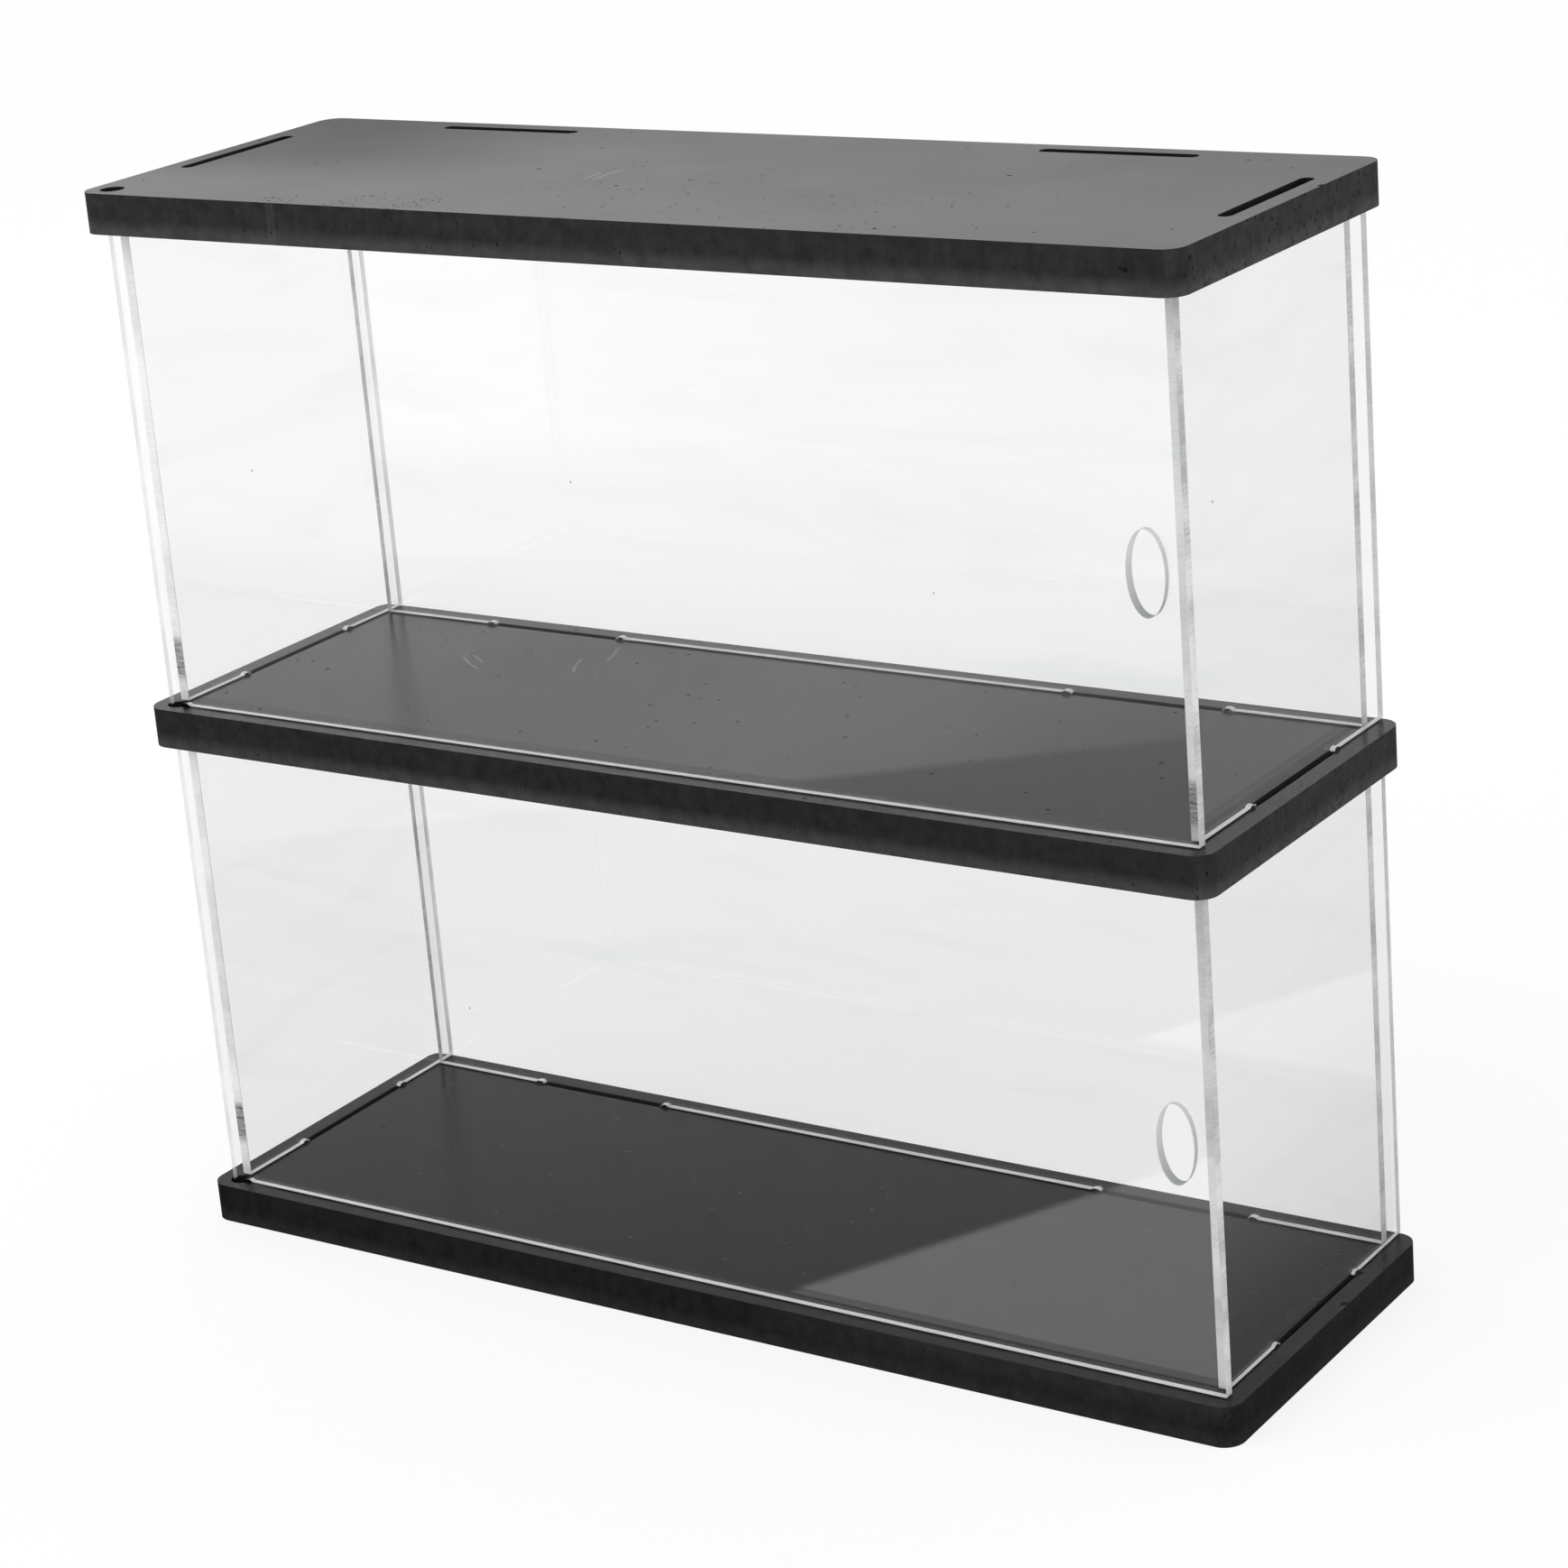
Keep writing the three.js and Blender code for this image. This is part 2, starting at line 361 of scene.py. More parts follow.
def scratchMask(tree, place, centre, radius, middle, length, width):
    # A thin arc round the centre, kept within half the length of its middle
    away = addNode(tree, "VectorMath", {"operation": "DISTANCE", 1: [c * mm for c in centre]}, {0: place})
    off = addNode(tree, "Math", {"operation": "SUBTRACT", 1: radius * mm}, {0: away.outputs["Value"]})
    line = addNode(tree, "Math", {"operation": "COMPARE", 1: 0.0, 2: width / 2 * mm}, {0: off})
    part = within(tree, place, middle, length / 2, length / 4)
    return chain(tree, "MULTIPLY", [line, part])


def pvcSkinMaterial(values):
    material, tree = newMaterial("expandedPvcSkin")
    place = addNode(tree, "TexCoord").outputs["Object"]
    axes = addNode(tree, "SeparateXYZ", {}, {0: place})
    onTop = addNode(tree, "Math", {"operation": "GREATER_THAN", 1: values["topFrom"] * mm},
                    {0: axes.outputs["Z"]})
    cloud = addNode(tree, "TexNoise", {"Scale": 1000 / values["cloud"], "Detail": 3.0, "Roughness": 0.5},
                    {"Vector": place})
    length, width = values["streak"]
    drawn = addNode(tree, "Mapping", {"Scale": (1000 / length, 1000 / width, 1000 / width)},
                    {"Vector": place})
    streak = addNode(tree, "TexNoise", {"Scale": 1.0, "Detail": 4.0, "Roughness": 0.6}, {"Vector": drawn})
    grain = addNode(tree, "TexNoise", {"Scale": 1000 / values["grain"], "Detail": 2.0}, {"Vector": place})
    few, many = values["pitShares"]
    share = addNode(tree, "MapRange", {"To Min": few, "To Max": many}, {"Value": onTop})
    pits = pitMask(tree, place, values["pitSpacing"], values["pitRadius"], share)
    spots = []
    for x, y, reach, crowding in values["crowds"]:
        spot = within(tree, place, (x, y, values["crowdHeight"]), reach, reach * values["crowdFade"])
        spots.append(addNode(tree, "Math", {"operation": "MULTIPLY", 1: crowding}, {0: spot}))
    finePits = pitMask(tree, place, values["finePitSpacing"], values["finePitRadius"],
                       chain(tree, "MAXIMUM", spots))
    chips = [within(tree, place, (x, y, z), reach, reach * values["chipFade"])
             for x, y, z, reach in values["chips"]]
    pit = chain(tree, "MAXIMUM", [pits, finePits] + chips)
    scratches = [scratchMask(tree, place, *arc, values["scratchWidth"]) for arc in values["scratches"]]
    scratch = addNode(tree, "Math", {"operation": "MULTIPLY", 1: values["scratchShare"]},
                      {0: chain(tree, "MAXIMUM", scratches)})
    tone = addNode(tree, "Math", {"operation": "MULTIPLY_ADD", 1: values["streakShare"]},
                   {0: streak, 2: cloud})
    darkest, lightest = values["toneSpan"]
    lightness = addNode(tree, "MapRange", {"From Min": darkest, "From Max": lightest}, {"Value": tone})
    board = addNode(tree, "Mix",
                    {"data_type": "RGBA", 6: linearColour(values["dark"]),
                     7: linearColour(values["light"])}, {0: lightness})
    rubbedOff = addNode(tree, "Mix", {"data_type": "RGBA", 7: linearColour(values["scratch"])},
                        {0: scratch, 6: board.outputs[2]})
    colour = addNode(tree, "Mix", {"data_type": "RGBA", 7: linearColour(values["pit"])},
                     {0: pit, 6: rubbedOff.outputs[2]})
    glossiest, dullest = values["roughness"]
    smooth = addNode(tree, "MapRange",
                     {"From Min": darkest, "From Max": lightest, "To Min": dullest, "To Max": glossiest},
                     {"Value": tone})
    # The top board is glossiest along its front, and rubbed dull toward its left rear and right end
    (startX, fullX), (startY, fullY) = values["dullCornerFrom"]
    leftward = addNode(tree, "MapRange", {**eased, "From Min": startX * mm, "From Max": fullX * mm},
                       {"Value": axes.outputs["X"]})
    rearward = addNode(tree, "MapRange", {**eased, "From Min": startY * mm, "From Max": fullY * mm},
                       {"Value": axes.outputs["Y"]})
    corner = chain(tree, "MULTIPLY", [leftward, rearward])
    rubbed = addNode(tree, "Math", {"operation": "MULTIPLY", 1: values["dullCorner"]}, {0: corner})
    startX, fullX = values["dullEndFrom"]
    rightEnd = addNode(tree, "MapRange",
                       {**eased, "From Min": startX * mm, "From Max": fullX * mm,
                        "To Max": values["dullEnd"]}, {"Value": axes.outputs["X"]})
    atFront, atRear = values["dullTop"]
    startY, fullY = values["dullTopFrom"]
    frontward = addNode(tree, "MapRange",
                        {"From Min": startY * mm, "From Max": fullY * mm, "To Min": atFront,
                         "To Max": atRear}, {"Value": axes.outputs["Y"]})
    dulled = chain(tree, "ADD", [rubbed, rightEnd, frontward])
    worn = addNode(tree, "Math", {"operation": "MULTIPLY_ADD"}, {0: dulled, 1: onTop, 2: smooth})
    rough = addNode(tree, "Mix", {"data_type": "FLOAT", 3: values["pitRoughness"]}, {0: pit, 2: worn})
    waves = addNode(tree, "Bump", {"Distance": values["relief"] * mm, "Strength": 1.0}, {"Height": grain})
    dents = addNode(tree, "Bump", {"Distance": values["pitDepth"] * mm, "Strength": 1.0, "invert": True},
                    {"Height": pit, "Normal": waves})
    surface = addNode(tree, "BsdfPrincipled", {"IOR": iorValues["pvc"]},
                      {"Base Color": colour.outputs[2], "Roughness": rough, "Normal": dents})
    addNode(tree, "OutputMaterial", {}, {"Surface": surface})
    return material


# The same board where the router has cut it: matt and darker, with faint upright cutter marks and
# the cells of the foam laid open as short upright pits
routedValues = {
    "light": "#19191A",
    "dark": "#050506",
    "markShare": 0.3,          # cutter marks against mottling in the tone
    "toneSpan": (0.45, 0.85),
    "pit": "#020202",
    "roughness": (0.48, 0.64),
    "gloss": 0.42,
    "mark": 1.1,               # mm from one cutter mark to the next
    "markUpright": 0.08,       # their width against their height
    "mottle": 3.5,
    "grain": 0.6,
    "pitSpacing": 1.35,
    "pitRadius": 0.47,
    "pitHeight": 1.6,          # times as high as wide
    "crowding": 26,            # mm across a group of pits
    "groupSpan": (0.42, 0.62), # levels of its noise between groups and in them
    "groupShares": (0.5, 1.0), # of the pits that show there
    "pitShares": (0.12, 1.0),  # of the pits that show on the fronts and on the right ends
    "endFrom": (143, 148),     # X where the fronts pass into the right ends
    "blots": ((137.1, -48.2, 265.4, 0.9), (135.9, -48.2, 265.7, 0.6), (148.6, -42.9, 267.4, 1.0)),
    "blotFade": 0.6,
    "seam": (-88.7, -48.2, 265),   # a pale upright line where the router began and ended its round
    "seamWidth": 2.4,
    "seamReach": 9,            # mm up and down from its middle, with the fade at its ends
    "seamFade": 4,
    "seamShare": 0.35,
    "rim": "#3A3A3B",          # painted light: the lower rim is painted greyer than the rest of the cut
    "rimLightHeights": (0.8, 4.6),  # mm above the underside of a board
    "rimLightShares": (0.3, 1.0),   # of that painted light at the bottom board and from the middle board up
    "rimLightMottle": (0.25, 0.75), # levels of mottling where it is least and most grey
    "rimLightMottleShares": (0.45, 1.0),
    "boardPitch": 130,
    "lift": 0.05,              # keeps the underside of a board in that board's own pitch
    "relief": 0.03,
    "pitDepth": 0.16,
    "pitRoughness": 1.0,
}


def pvcRoutedMaterial(values):
    material, tree = newMaterial("expandedPvcRouted")
    place = addNode(tree, "TexCoord").outputs["Object"]
    upright = addNode(tree, "Mapping", {"Scale": (1, 1, values["markUpright"])}, {"Vector": place})
    marks = addNode(tree, "TexNoise", {"Scale": 1000 / values["mark"], "Detail": 2.0, "Roughness": 0.6},
                    {"Vector": upright})
    mottle = addNode(tree, "TexNoise", {"Scale": 1000 / values["mottle"], "Detail": 4.0, "Roughness": 0.65},
                     {"Vector": place})
    grain = addNode(tree, "TexNoise", {"Scale": 1000 / values["grain"], "Detail": 2.0}, {"Vector": place})
    groups = addNode(tree, "TexNoise", {"Scale": 1000 / values["crowding"], "Detail": 1.0},
                     {"Vector": place})
    axes = addNode(tree, "SeparateXYZ", {}, {0: place})
    onFronts, onEnds = values["pitShares"]
    endStart, endFull = values["endFrom"]
    laidOpen = addNode(tree, "MapRange",
                       {"From Min": endStart * mm, "From Max": endFull * mm, "To Min": onFronts,
                        "To Max": onEnds}, {"Value": axes.outputs["X"]})
    (outside, inside), (sparse, dense) = values["groupSpan"], values["groupShares"]
    group = addNode(tree, "MapRange",
                    {"From Min": outside, "From Max": inside, "To Min": sparse, "To Max": dense},
                    {"Value": groups})
    crowd = chain(tree, "MULTIPLY", [group, laidOpen])
    tall = addNode(tree, "Mapping", {"Scale": (1, 1, 1 / values["pitHeight"])}, {"Vector": place})
    cells = pitMask(tree, tall, values["pitSpacing"], values["pitRadius"], crowd)
    blots = [within(tree, place, (x, y, z), reach, reach * values["blotFade"])
             for x, y, z, reach in values["blots"]]
    pit = chain(tree, "MAXIMUM", [cells] + blots)
    tone = addNode(tree, "Math", {"operation": "MULTIPLY_ADD", 1: values["markShare"]},
                   {0: marks, 2: mottle})
    darkest, lightest = values["toneSpan"]
    share = addNode(tree, "MapRange", {"From Min": darkest, "From Max": lightest}, {"Value": tone})
    board = addNode(tree, "Mix",
                    {"data_type": "RGBA", 6: linearColour(values["dark"]),
                     7: linearColour(values["light"])}, {0: share})
    raised = addNode(tree, "Math", {"operation": "ADD", 1: values["lift"] * mm}, {0: axes.outputs["Z"]})
    height = addNode(tree, "Math", {"operation": "FLOORED_MODULO", 1: values["boardPitch"] * mm},
                     {0: raised})
    # Painted light: a greyer, mottled band along the lower rim of each cut, weaker on the bottom board
    bottom, fadeEnd = values["rimLightHeights"]
    rim = addNode(tree, "MapRange", {**eased, "From Min": fadeEnd * mm, "From Max": bottom * mm},
                  {"Value": height})
    (low, high), (least, most) = values["rimLightMottle"], values["rimLightMottleShares"]
    lit = addNode(tree, "MapRange", {"From Min": low, "From Max": high, "To Min": least, "To Max": most},
                  {"Value": mottle})
    few, many = values["rimLightShares"]
    upward = addNode(tree, "MapRange",
                     {"From Max": values["boardPitch"] * mm, "To Min": few, "To Max": many},
                     {"Value": axes.outputs["Z"]})
    rimLightShare = chain(tree, "MULTIPLY", [rim, lit, upward])
    beside = addNode(tree, "Math",
                     {"operation": "COMPARE", 1: values["seam"][0] * mm, 2: values["seamWidth"] / 2 * mm},
                     {0: axes.outputs["X"]})
    along = within(tree, place, values["seam"], values["seamReach"], values["seamFade"])
    seam = chain(tree, "MULTIPLY", [beside, along])
    seamAndRimLight = addNode(tree, "Math", {"operation": "MULTIPLY_ADD", 1: values["seamShare"]},
                    {0: seam, 2: rimLightShare})
    rimLit = addNode(tree, "Mix", {"data_type": "RGBA", 7: linearColour(values["rim"])},
                     {0: seamAndRimLight, 6: board.outputs[2]})
    colour = addNode(tree, "Mix", {"data_type": "RGBA", 7: linearColour(values["pit"])},
                     {0: pit, 6: rimLit.outputs[2]})
    glossiest, dullest = values["roughness"]
    rough = addNode(tree, "MapRange",
                    {"From Min": darkest, "From Max": lightest, "To Min": dullest, "To Max": glossiest},
                    {"Value": tone})
    waviness = chain(tree, "ADD", [grain, tone])
    grooves = addNode(tree, "Bump", {"Distance": values["relief"] * mm, "Strength": 1.0},
                      {"Height": waviness})
    dents = addNode(tree, "Bump", {"Distance": values["pitDepth"] * mm, "Strength": 1.0, "invert": True},
                    {"Height": pit, "Normal": grooves})
    deepRough = addNode(tree, "Mix", {"data_type": "FLOAT", 3: values["pitRoughness"]}, {0: pit, 2: rough})
    surface = addNode(tree, "BsdfPrincipled",
                      {"IOR": iorValues["pvc"], "Specular IOR Level": values["gloss"]},
                      {"Base Color": colour.outputs[2], "Roughness": deepRough, "Normal": dents})
    addNode(tree, "OutputMaterial", {}, {"Surface": surface})
    return material


# Cast acrylic with its polished faces: nearly invisible but for reflections, faint wiping streaks
# and a few specks of dust. The back sheets are drawn a little darker toward their right ends
polishedValues = {
    "clear": "#FFFFFF",
    "streak": "#FAFBFB",
    "speck": "#9A9A9A",
    "streakLength": 90,        # mm
    "streakWidth": 16,
    "streakTilt": 12,          # degrees
    "streakSpan": (0.48, 0.75),    # levels of its noise from none to full
    "speckSpacing": 26,
    "speckRadius": 0.35,
    "smoke": ("#FEFEFE", "#F7F7F7"),    # left and right end of the upper back sheet
    "rightDarkeningBelow": ("#FFFFFF", "#FEFEFE"),
    "rightDarkeningFrom": (-130, 90),
    "openShare": 0.95,         # of the light that passes a sheet on its way to lamps and matt surfaces
    "rightIor": 1.26,          # under acrylic's 1.49: the upper right panel mirrors little of the table
}


def acrylicPolishedMaterial(name, values, smoke=None, ior=iorValues["acrylic"]):
    material, tree = newMaterial(name)
    place = addNode(tree, "TexCoord").outputs["Object"]
    along = addNode(tree, "Mapping",
                    {"Rotation": (0, math.radians(values["streakTilt"]), 0),
                     "Scale": (1 / values["streakLength"], 1 / values["streakLength"],
                               1 / values["streakWidth"])}, {"Vector": place})
    wiped = addNode(tree, "TexNoise", {"Scale": 1000.0, "Detail": 4.0, "Roughness": 0.6, "Distortion": 0.6},
                    {"Vector": along})
    start, full = values["streakSpan"]
    haze = addNode(tree, "MapRange", {**eased, "From Min": start, "From Max": full}, {"Value": wiped})
    dust = addNode(tree, "TexVoronoi", {"Scale": 1000 / values["speckSpacing"]}, {"Vector": place})
    speck = addNode(tree, "Math",
                    {"operation": "LESS_THAN", 1: values["speckRadius"] / values["speckSpacing"]},
                    {0: dust.outputs["Distance"]})
    glass = addNode(tree, "Mix",
                    {"data_type": "RGBA", 6: linearColour(values["clear"]),
                     7: linearColour(values["streak"])}, {0: haze})
    if smoke:
        axes = addNode(tree, "SeparateXYZ", {}, {0: place})
        start, end = values["rightDarkeningFrom"]
        toTheRight = addNode(tree, "MapRange", {**eased, "From Min": start * mm, "From Max": end * mm},
                             {"Value": axes.outputs["X"]})
        darkened = addNode(tree, "Mix",
                         {"data_type": "RGBA", 6: linearColour(smoke[0]), 7: linearColour(smoke[1])},
                         {0: toTheRight})
        glass = addNode(tree, "Mix", {"data_type": "RGBA", "blend_type": "MULTIPLY", 0: 1.0},
                        {6: glass.outputs[2], 7: darkened.outputs[2]})
    colour = addNode(tree, "Mix", {"data_type": "RGBA", 7: linearColour(values["speck"])},
                     {0: speck, 6: glass.outputs[2]})
    sheet = addNode(tree, "BsdfPrincipled", {"Roughness": 0.0, "IOR": ior, "Transmission Weight": 1.0},
                    {"Base Color": colour.outputs[2]})
    # Lamps and matt surfaces reach through the sheet as if it were open, less what it reflects
    path = addNode(tree, "LightPath")
    through = addNode(tree, "BsdfTransparent", {"Color": [values["openShare"]] * 3 + [1.0]})
    forLamps = addNode(tree, "MixShader", {}, {0: path.outputs["Is Shadow Ray"], 1: sheet, 2: through})
    forMatt = addNode(tree, "MixShader", {}, {0: path.outputs["Is Diffuse Ray"], 1: forLamps, 2: through})
    addNode(tree, "OutputMaterial", {}, {"Surface": forMatt})
    return material


# The same sheet where it was sawn: frosted white with fine marks across the edge. A ridged darker
# band lies just above each board, and the tabs are painted dark where they sit in the boards, as
# painted shade in the slots. Each sort of cut face says which way its marks run and how much light passes
# through
sawnValues = {
    "side": {"light": "#FFFFFF", "dark": "#E2E4E4", "across": (0.1, 1, 1), "through": 0.08},
    "front": {"light": "#E8EAEA", "dark": "#B4B7B7", "across": (1, 0.1, 1), "through": 0.08},
    "shoulder": {"light": "#FFFFFF", "dark": "#E9EAEA", "across": (0.1, 0.1, 1), "through": 0.45},
    "hole": {"light": "#F2F3F3", "dark": "#B2B6B6", "across": (1, 0.1, 1), "through": 0.08},
    "arris": {"light": "#D2D5D5", "dark": "#B4B7B7", "across": (1, 1, 1), "through": 0.08},
    # The hinge end of a door is seen from inside the sheet, where a true IOR would mirror all the light
    "end": {"light": "#FFFFFF", "dark": "#ECEDED", "across": (0.1, 1, 1), "through": 0.6, "ior": 1.0},
    "stain": "#262727",
    "rightShade": 0.80,        # painted shade: the right end's sheets are painted a little darker at their front edges
    "roughness": (0.35, 0.55),
    "mark": 0.55,              # mm from one saw mark to the next
    "markShare": 0.6,          # saw marks against blotches in the tone
    "toneSpan": (0.6, 0.95),
    "blotch": 14,
    "band": "#4E5050",         # on the side panels' edges alone
    "bandHeights": (4, 8, 15, 17.5),   # mm above the top face of a board
    "bandShifts": ((0, -2.6), (4, 6.5)),   # left and right in the upper tier, then in the lower
    "faintBand": 0.35,         # share of it at the lower right
    "ridgeSpan": (0.35, 0.65), # levels of the saw marks' noise in its grooves and on its ridges
    "ridgeShares": (0.35, 1.0),
    "boardPitch": 130,
    "boardThickness": 10,
    "holeHeight": 70,          # middle of a finger hole above the underside of the board below
    "holeReach": 10,
    "relief": 0.02,
}


def acrylicSawnMaterial(name, sort, values):
    material, tree = newMaterial(name)
    own = values[sort]
    place = addNode(tree, "TexCoord").outputs["Object"]
    axes = addNode(tree, "SeparateXYZ", {}, {0: place})
    height = addNode(tree, "Math", {"operation": "FLOORED_MODULO", 1: values["boardPitch"] * mm},
                     {0: axes.outputs["Z"]})
    across = addNode(tree, "Mapping", {"Scale": own["across"]}, {"Vector": place})
    marks = addNode(tree, "TexNoise", {"Scale": 1000 / values["mark"], "Detail": 2.0, "Roughness": 0.7},
                    {"Vector": across})
    blotch = addNode(tree, "TexNoise", {"Scale": 1000 / values["blotch"], "Detail": 3.0}, {"Vector": place})
    tone = addNode(tree, "Math", {"operation": "MULTIPLY_ADD", 1: values["markShare"]},
                   {0: marks, 2: blotch})
    darkest, lightest = values["toneSpan"]
    share = addNode(tree, "MapRange", {"From Min": darkest, "From Max": lightest}, {"Value": tone})
    if sort == "hole":
        # The wall of a finger hole is painted lightest at its top and darkest at its bottom, as painted
        # light and shade in the hole
        reach = values["holeReach"]
        share = addNode(tree, "MapRange",
                        {"From Min": (values["holeHeight"] - reach) * mm,
                         "From Max": (values["holeHeight"] + reach) * mm}, {"Value": height})
    colour = addNode(tree, "Mix",
                     {"data_type": "RGBA", 6: linearColour(own["dark"]), 7: linearColour(own["light"])},
                     {0: share})
    if sort == "side":
        onRight = addNode(tree, "Math", {"operation": "GREATER_THAN", 1: 0.0}, {0: axes.outputs["X"]})
        inFront = addNode(tree, "Math", {"operation": "LESS_THAN", 1: 0.0}, {0: axes.outputs["Y"]})
        below = addNode(tree, "Math", {"operation": "LESS_THAN", 1: values["boardPitch"] * mm},
                        {0: axes.outputs["Z"]})
        # Painted shade: the front edges of the right end's sheets are darkened
        frontRight = chain(tree, "MULTIPLY", [onRight, inFront])
        shade = [values["rightShade"]] * 3 + [1.0]
        colour = addNode(tree, "Mix", {"data_type": "RGBA", "blend_type": "MULTIPLY", 7: shade},
                         {0: frontRight, 6: colour.outputs[2]})
        faint = chain(tree, "MULTIPLY", [onRight, below])
        strength = addNode(tree, "MapRange", {"To Min": 1.0, "To Max": values["faintBand"]},
                           {"Value": faint})
        low, lowFull, highFull, high = [(h + values["boardThickness"]) * mm for h in values["bandHeights"]]
        aboveShift, belowShift = [
            addNode(tree, "MapRange", {"To Min": left * mm, "To Max": right * mm}, {"Value": onRight})
            for left, right in values["bandShifts"]
        ]
        shift = addNode(tree, "Mix", {"data_type": "FLOAT"}, {0: below, 2: aboveShift, 3: belowShift})
        shifted = addNode(tree, "Math", {"operation": "SUBTRACT"}, {0: height, 1: shift})
        rising = addNode(tree, "MapRange", {**eased, "From Min": low, "From Max": lowFull},
                         {"Value": shifted})
        falling = addNode(tree, "MapRange", {**eased, "From Min": high, "From Max": highFull},
                          {"Value": shifted})
        (groove, ridge), (least, most) = values["ridgeSpan"], values["ridgeShares"]
        ridges = addNode(tree, "MapRange",
                         {"From Min": groove, "From Max": ridge, "To Min": least, "To Max": most},
                         {"Value": marks})
        band = chain(tree, "MULTIPLY", [rising, falling, inFront, ridges, strength])
        colour = addNode(tree, "Mix", {"data_type": "RGBA", 7: linearColour(values["band"])},
                         {0: band, 6: colour.outputs[2]})
    # Painted shade: cut faces within a board's thickness are painted dark
    inBoard = addNode(tree, "Math", {"operation": "LESS_THAN", 1: values["boardThickness"] * mm},
                      {0: height})
    slotShaded = addNode(tree, "Mix", {"data_type": "RGBA", 7: linearColour(values["stain"])},
                      {0: inBoard, 6: colour.outputs[2]})
    glossiest, dullest = values["roughness"]
    rough = addNode(tree, "MapRange",
                    {"From Min": darkest, "From Max": lightest, "To Min": glossiest, "To Max": dullest},
                    {"Value": tone})
    grooves = addNode(tree, "Bump", {"Distance": values["relief"] * mm, "Strength": 1.0}, {"Height": marks})
    surface = addNode(tree, "BsdfPrincipled",
                      {"IOR": own.get("ior", iorValues["acrylic"]), "Transmission Weight": own["through"]},
                      {"Base Color": slotShaded.outputs[2], "Roughness": rough, "Normal": grooves})
    addNode(tree, "OutputMaterial", {}, {"Surface": surface})
    return material


# The flat sides of the tabs, painted black as painted shade where they sit in the slots of the boards, with
# a mottled tone
slotShadeValues = {
    "light": "#1C1C1D",
    "dark": "#0A0A0B",
    "smear": (1.2, 6.0),       # mm wide and high
    "roughness": 0.42,
}


def slotShadeTabMaterial(values):
    material, tree = newMaterial("castAcrylicSlotShade")
    place = addNode(tree, "TexCoord").outputs["Object"]
    width, height = values["smear"]
    drawn = addNode(tree, "Mapping", {"Scale": (1000 / width, 1000 / width, 1000 / height)},
                    {"Vector": place})
    smear = addNode(tree, "TexNoise", {"Scale": 1.0, "Detail": 4.0, "Roughness": 0.65}, {"Vector": drawn})
    colour = addNode(tree, "Mix",
                     {"data_type": "RGBA", 6: linearColour(values["dark"]),
                      7: linearColour(values["light"])}, {0: smear})
    surface = addNode(tree, "BsdfPrincipled",
                      {"Roughness": values["roughness"], "IOR": iorValues["acrylic"]},
                      {"Base Color": colour.outputs[2]})
    addNode(tree, "OutputMaterial", {}, {"Surface": surface})
    return material


skin = pvcSkinMaterial(skinValues)
routed = pvcRoutedMaterial(routedValues)
polished = acrylicPolishedMaterial("castAcrylicPolished", polishedValues)
polishedRight = acrylicPolishedMaterial("castAcrylicPolishedRight", polishedValues,
                                        ior=polishedValues["rightIor"])
darkenedUpper = acrylicPolishedMaterial("castAcrylicDarkenedUpper", polishedValues, polishedValues["smoke"])
darkenedLower = acrylicPolishedMaterial("castAcrylicDarkenedLower", polishedValues,
                                      polishedValues["rightDarkeningBelow"])
sawnSide = acrylicSawnMaterial("castAcrylicSawnSide", "side", sawnValues)
sawnFront = acrylicSawnMaterial("castAcrylicSawnFront", "front", sawnValues)
sawnShoulder = acrylicSawnMaterial("castAcrylicSawnShoulder", "shoulder", sawnValues)
sawnEnd = acrylicSawnMaterial("castAcrylicSawnEnd", "end", sawnValues)
sawnHole = acrylicSawnMaterial("castAcrylicSawnHole", "hole", sawnValues)
arris = acrylicSawnMaterial("castAcrylicArris", "arris", sawnValues)
slotShadeTab = slotShadeTabMaterial(slotShadeValues)
print("materials made")


# Shared modelling steps
shapingValues = {
    "mergeReach": 0.001 * mm,
    "coplanarAngle": 0.5,      # degrees
    "smoothAngle": 40,
    "alongAxis": 0.99,         # least part of a normal that lies along the axis of a flat side
}


def startEditing(piece):
    bpy.ops.object.select_all(action="DESELECT")
    piece.select_set(True)
    bpy.context.view_layer.objects.active = piece
    bpy.ops.object.mode_set(mode="EDIT")
    bpy.ops.mesh.select_mode(type="EDGE")


def copyOfNode(nodeName, pieceName):
    piece = bpy.data.objects.new(pieceName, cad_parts[nodeName].data.copy())
    piece.data.name = pieceName
    piece.data.materials.clear()
    bpy.context.scene.collection.objects.link(piece)
    startEditing(piece)
    bpy.ops.mesh.select_all(action="SELECT")
    bpy.ops.mesh.remove_doubles(threshold=shapingValues["mergeReach"])
    bpy.ops.mesh.dissolve_limited(angle_limit=math.radians(shapingValues["coplanarAngle"]))
    bpy.ops.mesh.customdata_custom_splitnormals_clear()
    bpy.ops.object.mode_set(mode="OBJECT")
    return piece


def isFlat(face, axis):
    return abs(face.normal.dot(axis)) > shapingValues["alongAxis"]


def breakEdges(piece, axis, width, segments):
    # Bevels each edge between a flat side of the sheet and its cut edge
    startEditing(piece)
    bpy.ops.mesh.select_all(action="DESELECT")
    mesh = bmesh.from_edit_mesh(piece.data)
    for edge in mesh.edges:
        flatSides = sum(isFlat(face, axis) for face in edge.link_faces)
        edge.select = len(edge.link_faces) == 2 and flatSides == 1
    bmesh.update_edit_mesh(piece.data)
    bpy.ops.mesh.bevel(offset=width, segments=segments, affect="EDGES", clamp_overlap=True)
    bpy.ops.object.mode_set(mode="OBJECT")


def paintSides(piece, axis, flatMaterial, cutMaterial):
    piece.data.materials.append(flatMaterial)
    piece.data.materials.append(cutMaterial)
    for face in piece.data.polygons:
        face.material_index = 0 if isFlat(face, axis) else 1


